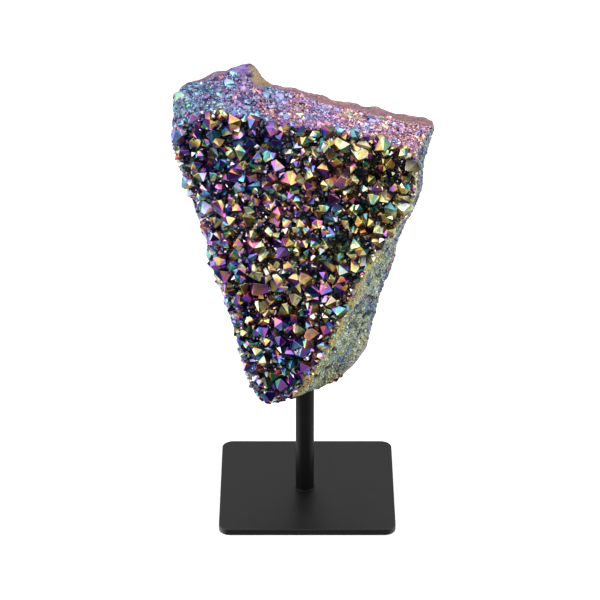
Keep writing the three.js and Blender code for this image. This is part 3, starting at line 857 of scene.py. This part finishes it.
def crystals(name, foot, pole, size, film, look, draw):
    """Six-sided prisms under six faces that meet in a short ridge. size holds radius, shoulder
    and height above the foot, and root, the depth below it. The ring at the shoulder is uneven
    by draws, and so are the ridge's place and length. Each corner of each face has a film
    thickness, which drifts across the crystal, is more on faces turned left than on those turned
    right, a painted shift of hue with the way a face meets the light, and steps from face to face.
    Each face's brightness is painted light: dim faces stand for a mirrored dark room and bright
    ones for a lit panel, faces turned up are bright and pale more often, as painted glints, and
    the crystal darkens towards its foot as painted shade. look holds the share of dim faces, the
    share of pale ones, the painted light at the foot, the extra thickness on faces turned left,
    the size of the steps, the light of the whole crystal and the size of the drift."""
    n = len(foot)
    radius, shoulder, height, root, film = (np.broadcast_to(value, n) for value in (*size, film))
    dim_odds, pale_odds, foot_light, left_facing_hue_shift, face_step, light, swing = (
        np.broadcast_to(value, n)[:, None] for value in look
    )
    pole = unit(pole)
    across = unit(np.cross(np.array([0, 0, 1.0]) + 0.01 * pole[:, [1, 2, 0]], pole))
    up = np.cross(pole, across)

    def sideways(turn):
        """Unit vectors square to each pole, turned from across towards up."""
        return across * np.cos(turn)[:, None] + up * np.sin(turn)[:, None]

    side = np.arange(6)
    other = np.where(side % 2, 1, -1)[None, :]
    angle = (draw(22)[:, None] + side) * math.pi / 3 + other * (0.04 + 0.22 * draw(21))[:, None]
    ring = across[:, None] * np.cos(angle)[..., None] + up[:, None] * np.sin(angle)[..., None]
    ring = ring * radius[:, None, None]
    low = foot[:, None] + ring - (pole * root[:, None])[:, None]
    levels = shoulder[:, None] + other * (0.3 * draw(27) - 0.15)[:, None] * radius[:, None]
    high = foot[:, None] + ring + pole[:, None] * levels[..., None]
    tip = foot + pole * height[:, None]
    tip = tip + sideways(2 * math.pi * draw(23)) * (0.36 * draw(24) * radius)[:, None]
    ridge = (high[:, 1] - high[:, 0]) * (0.02 + 0.22 * draw(28) ** 3)[:, None]
    points = np.concatenate([low, high, (tip - ridge)[:, None], (tip + ridge)[:, None]], axis=1)

    after = (side + 1) % 6
    walls = np.stack([side, after, after + 6, side + 6], axis=-1)
    corners = np.concatenate([walls.ravel(), *TIP_FACES, side[::-1]])
    sides = np.concatenate([np.full(6, 4), [len(face) for face in TIP_FACES], [6]])
    face_of = np.repeat(np.arange(FACES), sides)
    starts = np.concatenate([[0], np.cumsum(sides)[:-1]])
    first, second, third = (points[:, corners[starts + k]] for k in range(3))
    normal = unit(np.cross(second - first, third - first))

    drift = 0.6 * sideways(2 * math.pi * draw(25)) - 0.7 * up - 0.4 * pole
    offset = points - foot[:, None]
    across_film = np.einsum("nkc,nc->nk", offset, drift) / radius[:, None]
    across_film = across_film * (swing * (0.16 + 0.34 * draw(26))[:, None])
    step, shine, glint_draw = (
        np.stack([draw(channel + k) for k in range(FACES)], axis=-1) for channel in (40, 60, 80)
    )
    # Painted shift of hue: faces turned left carry more film than faces turned right.
    face_film = film[:, None] + (step - 0.5) * face_step - left_facing_hue_shift * normal[..., 0]
    thickness = across_film[:, corners] + face_film[:, face_of]
    # Painted light: a face is dim as if it mirrored a dark part of the room and bright as if it mirrored a
    # panel, and faces turned up are bright more often.
    dim_share = np.clip(dim_odds - 0.38 * normal[..., 2], 0.05, 0.95)
    dim = shine < dim_share
    bright = np.where(dim, 0.22 + 0.37 * shine / dim_share, 0.83 + 0.25 * shine)
    bright = bright * (light * (1 - 0.15 * between(2.2 * MM, 3.6 * MM, radius))[:, None])
    # Painted shade: towards its foot the crystal darkens to navy.
    rise = np.einsum("nkc,nc->nk", offset, pole) / height[:, None]
    clear_of_foot_shade = foot_light + (1 - foot_light) * between(-0.1, 0.7, rise)
    glint_pale = within(GLINT_PALENESS, between(1.2 * MM, 2.4 * MM, radius))[:, None]
    faint = 0.11 + 0.42 * pale_odds * shine * between(2.2 * MM, 1.0 * MM, radius)[:, None]
    # Painted glints: faces turned up are more often pale.
    pale_share = pale_odds * (0.2 + 1.4 * between(-0.1, 0.6, normal[..., 2]))
    pale = np.where(dim, 0.06, np.where(glint_draw < pale_share, glint_pale, faint))

    count = np.arange(n)[:, None]
    mesh = bpy.data.meshes.new(name)
    mesh.vertices.add(n * POINTS)
    mesh.vertices.foreach_set("co", points.astype(np.float32).ravel())
    mesh.loops.add(n * len(corners))
    loops = corners + POINTS * count
    mesh.loops.foreach_set("vertex_index", loops.astype(np.int32).ravel())
    mesh.polygons.add(n * FACES)
    loop_starts = starts + len(corners) * count
    mesh.polygons.foreach_set("loop_start", loop_starts.astype(np.int32).ravel())
    mesh.update(calc_edges=True)
    mesh.polygons.foreach_set("use_smooth", np.zeros(n * FACES, bool))
    set_attribute(mesh, "film", "CORNER", thickness)
    set_attribute(mesh, "bright", "CORNER", bright[:, face_of])
    set_attribute(mesh, "clear_of_foot_shade", "CORNER", clear_of_foot_shade[:, corners])
    set_attribute(mesh, "pale", "CORNER", pale[:, face_of])
    piece = bpy.data.objects.new(name, mesh)
    bpy.context.scene.collection.objects.link(piece)
    return piece


def druse_film(points, own):
    """The film's thickness: thick, blue and violet, on the left and at the bottom, and thin,
    gold, to the right and in the middle, with broad patches between. own is each crystal's own
    share of chance."""
    left = between(16 * MM, -38 * MM, points[:, 0] - 0.25 * (points[:, 2] - MIDDLE[2]))
    right = between(6 * MM, 30 * MM, points[:, 0])
    high = between(140 * MM, 175 * MM, points[:, 2])
    low = between(112 * MM, 76 * MM, points[:, 2]) * between(8 * MM, -8 * MM, points[:, 0])
    film = 0.26 + (0.41 + 0.08 * high) * left - 0.09 * right + 0.40 * low
    spread = 0.22 * smooth_noise(points, 15 * MM, 31) + 0.58 * (own - 0.5)
    return film + spread * (1 - 0.65 * right - 0.30 * left * (1 - high))


def mirror_film(name, scale, roughness, pastel):
    """A metal film on crystal: its colour from its thickness, paled by the face's share, in part
    painted glints, or by pastel, darkened by the face's painted light and, near the foot, to navy
    as painted shade between the crystals. Fine growth lines break its gloss."""
    material, nodes, shader = new_material(name)
    film, bright, pale, clear_of_foot_shade = map(nodes.attribute, ("film", "bright", "pale", "clear_of_foot_shade"))
    cloud = nodes.noise(480, 3)
    thickness = nodes.math("ADD", film, nodes.span(cloud, 0.3, 0.7, -0.08, 0.08))
    paled = nodes.math("MAXIMUM", pale, pastel)
    colour = nodes.mixed(paled, colour_ramp(nodes, scale, thickness), linear(PALE_TINT))
    deepening = nodes.span(bright, 0.2, 0.7, 2.0, 1.0)
    colour = nodes.node("ShaderNodeGamma", {"Color": colour, "Gamma": deepening}).outputs[0]
    colour = nodes.node(
        "ShaderNodeVectorMath",
        {0: colour, "Scale": bright},
        operation="SCALE",
    ).outputs[0]
    nodes.fill(
        shader,
        {
            "Base Color": nodes.mixed(clear_of_foot_shade, linear(FOOT_SHADE_TINT), colour),
            "Roughness": nodes.span(nodes.noise(900, 3), 0.3, 0.7, 0.7 * roughness, 1.3 * roughness),
            "Normal": nodes.bump(cloud, 0.2, 0.2 * MM),
            "Metallic": 0.94,
        },
    )
    return material


crystal_film = mirror_film("crystal_film", FILM_SCALE, 0.16, 0.0)


def leaning(normal, tilt, draw):
    """Normals leant by a random slope of up to tilt."""
    lean, turn = tilt * np.sqrt(draw(3)), 2 * math.pi * draw(4)
    normal = normal / np.maximum(np.abs(normal[:, 1:2]), 0.3)
    return normal + np.stack([lean * np.cos(turn), 0 * turn, lean * np.sin(turn)], axis=-1)


def coat(piece, material):
    """What every growth of crystals shares: its finish, body, node and slot."""
    piece.data.materials.append(material)
    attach(piece, "root")
    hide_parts("geode")


def druse_look(points, dim_share, pale_share, light, swing):
    """The look of crystals on the floor: more dim faces, painted shade, in broad patches of noise,
    more so to the right, along the crest and below the middle, less so in the middle itself,
    dimmer on the crest's left, and with larger steps between faces on the left."""
    left = between(15 * MM, -40 * MM, points[:, 0])
    # Painted shade: more dim faces in broad patches of noise.
    hollows = between(-0.1, 0.5, smooth_noise(points, 8 * MM, 61)) * (1 - 0.5 * left)
    across, height = points[:, 0], points[:, 2]
    crest = between(168 * MM, 177 * MM, height)
    middle = between(108 * MM, 120 * MM, height) * between(156 * MM, 146 * MM, height)
    middle = middle * between(12 * MM, 2 * MM, across)
    below = between(118 * MM, 106 * MM, height) * between(74 * MM, 86 * MM, height)
    dim_share = dim_share + 0.35 * hollows + 0.06 * crest - 0.12 * middle + 0.12 * below
    light = light * (1 - 0.10 * crest * left)
    return dim_share, pale_share, 0.12, 0.18, 0.30 + 0.12 * left, light, swing


def druse_right(points):
    """How far points lie in the floor's upper right, where large crystals stand in dark gaps."""
    return between(2 * MM, 18 * MM, points[:, 0]) * between(112 * MM, 128 * MM, points[:, 2])


foot, normal, draw = druse_sites(CRYSTAL_PITCH, CRYSTAL_JITTER, 0)
solid_r = np.where(draw(5) < BIG_SHARE, within(BIG_R, draw(6)), within(CRYSTAL_R, draw(6)))
height = solid_r * within(TIP_HEIGHT, draw(8))
right = druse_right(foot)
grown = draw(12) + right * (between(0.3, 0.75, draw(12)) - draw(12))
clumps = between(-0.3, 0.5, smooth_noise(foot, 12 * MM, 62))
radius = solid_r * (0.40 + (0.34 + 0.10 * right) * grown + 0.12 * clumps)
shoulder = np.maximum(height - radius * (0.66 + 0.34 * draw(13)), -0.6 * MM)
dim_share, light, swing = 0.42 + right * (0.25 - 0.6 * grown), 1.02 + 0.08 * right, 1.2 - 0.5 * right
main = crystals(
    "crystals_main",
    foot,
    leaning(normal + UPWARD, 2.2 * CRYSTAL_TILT, draw),
    (radius, shoulder, height, ROOT),
    druse_film(foot, draw(14)),
    druse_look(foot, dim_share, 0.10, light, swing),
    draw,
)
edges = main.modifiers.new("worn_edges", "BEVEL")
edges.width = CRYSTAL_EDGE
edges.segments = 1
coat(main, crystal_film)

# Each finer growth over the floor: its pitch, radii, height in radii, dim and pale shares of
# painted light, light and seed. Some of the middle growth's crystals are longer and lean more.
for name, pitch, radii, tall, dim_share, pale_share, light, seed in (
    ("crystals_middle", 4.0 * MM, (1.0 * MM, 2.1 * MM), (1.2, 2.2), 0.46, 0.30, 1.0, 100),
    ("crystals_small", 2.3 * MM, (0.5 * MM, 1.15 * MM), (1.2, 2.1), 0.60, 0.60, 0.82, 200),
    ("crystals_fine", 1.5 * MM, (0.3 * MM, 0.7 * MM), (0.9, 1.8), 0.68, 0.70, 0.64, 700),
):
    foot, normal, draw = druse_sites(pitch, 0.4, seed)
    right = druse_right(foot)
    radius = within(radii, draw(6)) * (1 - 0.2 * right)
    long = (draw(15) < 0.3) * (radius > 0.9 * MM)
    height = radius * within(tall, draw(8)) * (1 + 0.5 * long)
    dim_share, light, swing = dim_share + 0.08 * right, light * (1 - 0.10 * right), 0.8 - 0.25 * right
    growth = crystals(
        name,
        foot,
        leaning(normal + UPWARD, 1.0 + 0.9 * long, draw),
        (radius, height - radius * (0.95 + 0.35 * draw(13)), height, 0.8 * radius),
        druse_film(foot, draw(14)),
        druse_look(foot, dim_share, pale_share, light, swing),
        draw,
    )
    coat(growth, crystal_film)

# Crystals on the stone's outside, seen in profile: along the rim, down the left flank, and a
# row of low lumps half way down it. On the flank they wear a duller violet grey. Each growth
# has its places, depths, pitch, radii, height in radii, how deep it is sunk, its film's extra
# thickness, its light, finish and seed, with the lengths in millimetres.
flank_film = mirror_film("flank_film", FILM_SCALE, 0.30, 0.30)
for name, places, depths, pitch, radii, tall, sunk, film, light, finish, seed in (
    (
        "crystals_rim", (0.0, 35.0), (0.90, 1.06),
        2.7, (0.8, 1.9), (0.9, 1.5), 0.9, 0.12, 0.9, crystal_film, 500,
    ),
    (
        "crystals_flank", FLANK_PLACES, (1.1, 2.5),
        3.0, (1.3, 2.7), (0.5, 0.9), 1.2, 0.0, 0.66, flank_film, 600,
    ),
    (
        "flank_lumps", (29.4, 32.8), (1.0, 1.5),
        3.4, (2.0, 3.2), (0.5, 0.7), 0.5, -0.06, 0.72, flank_film, 620,
    ),
):
    foot, normal, draw, _ = strewn(places, depths, pitch * MM, seed, sunk * MM)
    radius = MM * within(radii, draw(6))
    height = radius * within(tall, draw(8))
    shoulder = height - radius * (0.8 + 0.35 * draw(13)) * (height > 0.8 * radius)
    growth = crystals(
        name,
        foot,
        normal + 1.1 * aslant(draw, (0.5, 0.7, 0.5)),
        (radius, shoulder, height, 1.1 * radius),
        druse_film(foot, draw(14)) + film,
        (0.35, 0.10, 0.45, 0.1, 0.4, light, 0.7),
        draw,
    )
    coat(growth, finish)

# ---------------------------------------------------------------------------- sugar quartz
# The broken top shows the fine quartz of the geode's wall: thousands of grains under a
# millimetre, in patches of one colour, with a few larger flat cleavage faces among them.

# Share of pale faces as painted glints, painted light at the foot and the extra thickness on faces turned
# left, a painted shift of hue.
SUGAR_LOOK = (0.12, 0.42, 0.10)
# The larger patches: place, depth, radius, film and how much of their grains they colour.
SUGAR_PATCHES = (
    (3.12, 1.70, 4.6 * MM, 0.74, 0.9),
    (3.60, 1.88, 3.6 * MM, 0.70, 0.9),
    (5.28, 1.54, 2.6 * MM, 0.36, 1.0),
    (6.00, 1.60, 2.6 * MM, 0.73, 1.0),
    (7.08, 1.68, 3.6 * MM, 0.63, 1.0),
    (6.38, 1.22, 4.0 * MM, 0.27, 0.9),
    (7.22, 1.20, 2.6 * MM, 0.70, 1.0),
    (7.70, 1.30, 2.2 * MM, 0.03, 0.9),
    (8.50, 1.12, 4.6 * MM, 0.36, 1.0),
    (9.08, 1.06, 2.4 * MM, 0.76, 1.0),
    (9.53, 1.05, 3.0 * MM, 0.75, 1.0),
    (9.98, 1.52, 4.0 * MM, 0.57, 1.0),
    (10.30, 1.43, 2.2 * MM, 0.09, 0.9),
    (8.95, 1.66, 2.4 * MM, 0.56, 0.9),
    (10.83, 1.24, 4.2 * MM, 0.24, 0.8),
    (4.23, 1.52, 3.2 * MM, 0.48, 0.9),
)
SUGAR_SCALE = (
    (0.00, (236, 220, 176)),
    (0.10, (224, 190, 112)),
    (0.20, (226, 152, 108)),
    (0.30, (216, 122, 138)),
    (0.40, (208, 122, 178)),
    (0.50, (164, 114, 192)),
    (0.60, (118, 116, 198)),
    (0.70, (100, 146, 204)),
    (0.80, (114, 202, 226)),
    (0.87, (84, 196, 176)),
    (0.94, (140, 224, 164)),
    (1.00, (236, 220, 176)),
)
sugar_film = mirror_film("sugar_film", SUGAR_SCALE, 0.34, 0.26)


def patched(film, points, patches, inner, waver, seed):
    """The film's thickness with patches of other thickness in it. Each patch is full out to the
    share inner of its radius and gone at its radius, and its edge wavers by noise."""
    for place, depth, radius, patch_film, share in patches:
        apart = apart_from(place, depth, points) + waver * smooth_noise(points, 2 * MM, seed)
        film = film + (patch_film - film) * share * between(radius, inner * radius, apart)
    return film


def sugar_colour(points):
    """The film's thickness on the broken top, from blue on the left to rose and gold on the
    right, with drifts of two sizes and the larger patches."""
    warm = between(-42 * MM, 40 * MM, points[:, 0])
    drifts = 0.34 * smooth_noise(points, 6 * MM, 41) + 0.24 * smooth_noise(points, 2.4 * MM, 42)
    film = np.minimum(0.69 - 0.36 * warm + drifts * (0.72 + 0.28 * warm), 0.80)
    return patched(film, points, SUGAR_PATCHES, 0.6, 0.8 * MM, 43)


# Grains and flakes: pitch, radii, height in radii, slant and seed.
for name, pitch, radii, tall, slant, seed in (
    ("sugar_grains", 0.94 * MM, (0.32 * MM, 0.80 * MM), (0.5, 1.4), 1.9, 300),
    ("sugar_flakes", 2.1 * MM, (0.7 * MM, 1.9 * MM), (0.25, 0.6), 0.9, 400),
):
    ends = (TOP_PLACES[0] + 0.3, TOP_PLACES[1] - 0.2)
    foot, normal, draw, _ = strewn(ends, (1.02, 1.96), pitch, seed)
    radius = within(radii, draw(6) ** 2)
    height = radius * within(tall, draw(8))
    blue = between(10 * MM, -40 * MM, foot[:, 0])
    # Painted shade: a few grains are darkened, as in gaps between grains.
    gap_shade = np.where(draw(17) < 0.06 + 0.10 * blue, 0.4, 1.0)
    grains = crystals(
        name,
        foot,
        normal + slant * aslant(draw, (0.5, 0.5, 0.5)),
        (radius, 0.05 * height, height, 0.9 * radius),
        np.minimum(sugar_colour(foot) + (0.14 + 0.16 * blue) * (draw(14) - 0.5), 0.82),
        (0.40 - 0.10 * blue, *SUGAR_LOOK, 0.14, (0.93 - 0.29 * blue) * gap_shade, 0.4),
        draw,
    )
    coat(grains, sugar_film)

# The largest cleavage faces, each a crystal broken nearly flat: place, depth, radius and film.
SUGAR_FACES = np.array([
    (0.70, 1.74, 2.4 * MM, 0.92),
    (3.12, 1.70, 2.2 * MM, 0.73),
    (3.45, 1.88, 1.8 * MM, 0.76),
    (2.60, 1.45, 1.5 * MM, 0.78),
    (4.23, 1.52, 2.2 * MM, 0.52),
    (5.28, 1.54, 1.8 * MM, 0.34),
    (6.00, 1.60, 2.1 * MM, 0.72),
    (6.95, 1.68, 2.2 * MM, 0.64),
    (7.15, 1.56, 1.8 * MM, 0.60),
    (7.22, 1.18, 1.7 * MM, 0.71),
    (7.66, 1.30, 1.6 * MM, 0.02),
    (8.40, 1.10, 2.0 * MM, 0.38),
    (8.68, 1.16, 1.7 * MM, 0.33),
    (9.08, 1.03, 2.0 * MM, 0.79),
    (9.53, 1.03, 2.5 * MM, 0.78),
    (9.92, 1.50, 2.4 * MM, 0.60),
    (10.06, 1.56, 1.9 * MM, 0.54),
    (10.32, 1.42, 1.5 * MM, 0.06),
    (8.95, 1.68, 1.7 * MM, 0.57),
])
place, depth, radius, film = SUGAR_FACES.T
row = np.arange(len(SUGAR_FACES))
draw = draws(row, row, 900)
normal = stone_normal(place, depth)
faces = crystals(
    "sugar_faces",
    stone_form(place, depth) + 0.3 * MM * normal,
    normal + 0.6 * aslant(draw, (0.5, 1.6, 0.1)),
    (radius, 0.1 * radius, 0.5 * radius, 0.9 * radius),
    film,
    (0.16, 0.0, 0.6, 0.02, 0.06, 0.82 + 0.28 * (film > 0.9), 0.16),
    draw,
)
coat(faces, sugar_film)

# ---------------------------------------------------------------------------- rind grains
# The rind's skin is a crust of grains half a millimetre across, dusted with the same film: pale
# grey-green, olive gold near the crystals and low down, and blue-grey above, over navy pits.
RIND_SCALE = (
    (0.00, (18, 36, 86)),
    (0.11, (32, 88, 168)),
    (0.22, (90, 134, 178)),
    (0.32, (152, 180, 188)),
    (0.40, (208, 218, 208)),
    (0.48, (172, 198, 166)),
    (0.57, (200, 212, 156)),
    (0.65, (214, 212, 142)),
    (0.72, (204, 184, 56)),
    (0.81, (240, 190, 36)),
    (0.91, (226, 142, 64)),
    (1.00, (150, 60, 100)),
)
# As for the broken top.
RIND_LOOK = (0.10, 0.45, 0.04)
# Patches of one colour, as on the broken top.
RIND_PATCHES = (
    (23.20, 1.02, 4.5 * MM, 0.96, 0.9),
    (22.60, 1.06, 3.0 * MM, 0.80, 0.9),
    (20.78, 1.04, 2.4 * MM, 0.90, 0.9),
    (20.25, 1.08, 4.0 * MM, 0.78, 0.9),
    (19.40, 1.80, 5.0 * MM, 0.11, 0.95),
    (21.48, 1.44, 2.6 * MM, 0.20, 0.8),
    (18.30, 1.30, 4.0 * MM, 0.64, 0.8),
    (13.30, 1.50, 4.0 * MM, 0.14, 0.8),
    (14.70, 1.60, 4.0 * MM, 0.24, 0.7),
)
rind_film = mirror_film("rind_film", RIND_SCALE, 0.46, 0.0)
foot, normal, draw, place = strewn((11.9, 24.6), (1.03, 2.75), 0.88 * MM, 800)
radius = 0.34 * MM + 0.50 * MM * draw(6) ** 2
height = radius * (0.25 + 0.45 * draw(8))
from_rim = np.linalg.norm(foot - stone_form(place, np.ones(len(foot))), axis=-1)
streaks = np.stack([0.2 * length_at(place), from_rim, 0 * from_rim], axis=-1)
low = between(150 * MM, 70 * MM, foot[:, 2])
drifts = 0.30 * smooth_noise(foot, 5 * MM, 51) + 0.50 * smooth_noise(streaks, 1.5 * MM, 52)
film = np.clip(0.24 + 0.32 * low + drifts + 0.09 * (draw(14) - 0.5), 0.02, 0.63)
seam = from_rim / (0.3 + 0.7 * low) + 2.4 * MM * smooth_noise(foot, 5 * MM, 53)
seam = between(10 * MM, 4.5 * MM, seam)
bloom = 0.61 + 0.18 * between(0.2, 0.8, smooth_noise(foot, 3.4 * MM, 54)) + 0.06 * (draw(15) - 0.5)
film = film + (np.clip(bloom, 0, 0.99) - film) * seam * (draw(16) < 0.45 + 0.6 * seam)
film = patched(film, foot, RIND_PATCHES, 0.5, 1.2 * MM, 55)
shade = 1 - 0.34 * between(0.05, 0.7, -smooth_noise(streaks, 2.4 * MM, 56))
grains = crystals(
    "rind_grains",
    foot,
    normal + 1.2 * aslant(draw, (0.5, 0.5, 0.5)),
    (radius, 0.05 * height, height, 0.9 * radius),
    film,
    (0.26 - 0.16 * seam, *RIND_LOOK, 0.06, 0.91 * shade + 0.24 * seam, 0.2),
    draw,
)
coat(grains, rind_film)

# A maroon nub of three blunt crystals stands on the worn arris near the tip: place, depth and
# radius.
RIND_NUB = np.array([(22.62, 1.92, 1.7 * MM), (22.38, 1.93, 1.2 * MM), (22.88, 1.97, 1.1 * MM)])
place, depth, radius = RIND_NUB.T
row = np.arange(len(RIND_NUB))
nub = crystals(
    "rind_nub",
    stone_form(place, depth),
    stone_normal(place, depth) + (0.1, -0.4, -0.3),
    (radius, 0.3 * radius, 0.8 * radius, radius),
    0.99,
    (0.6, 0.0, 0.5, 0.02, 0.10, 0.8, 0.2),
    draws(row, row, 950),
)
coat(nub, rind_film)
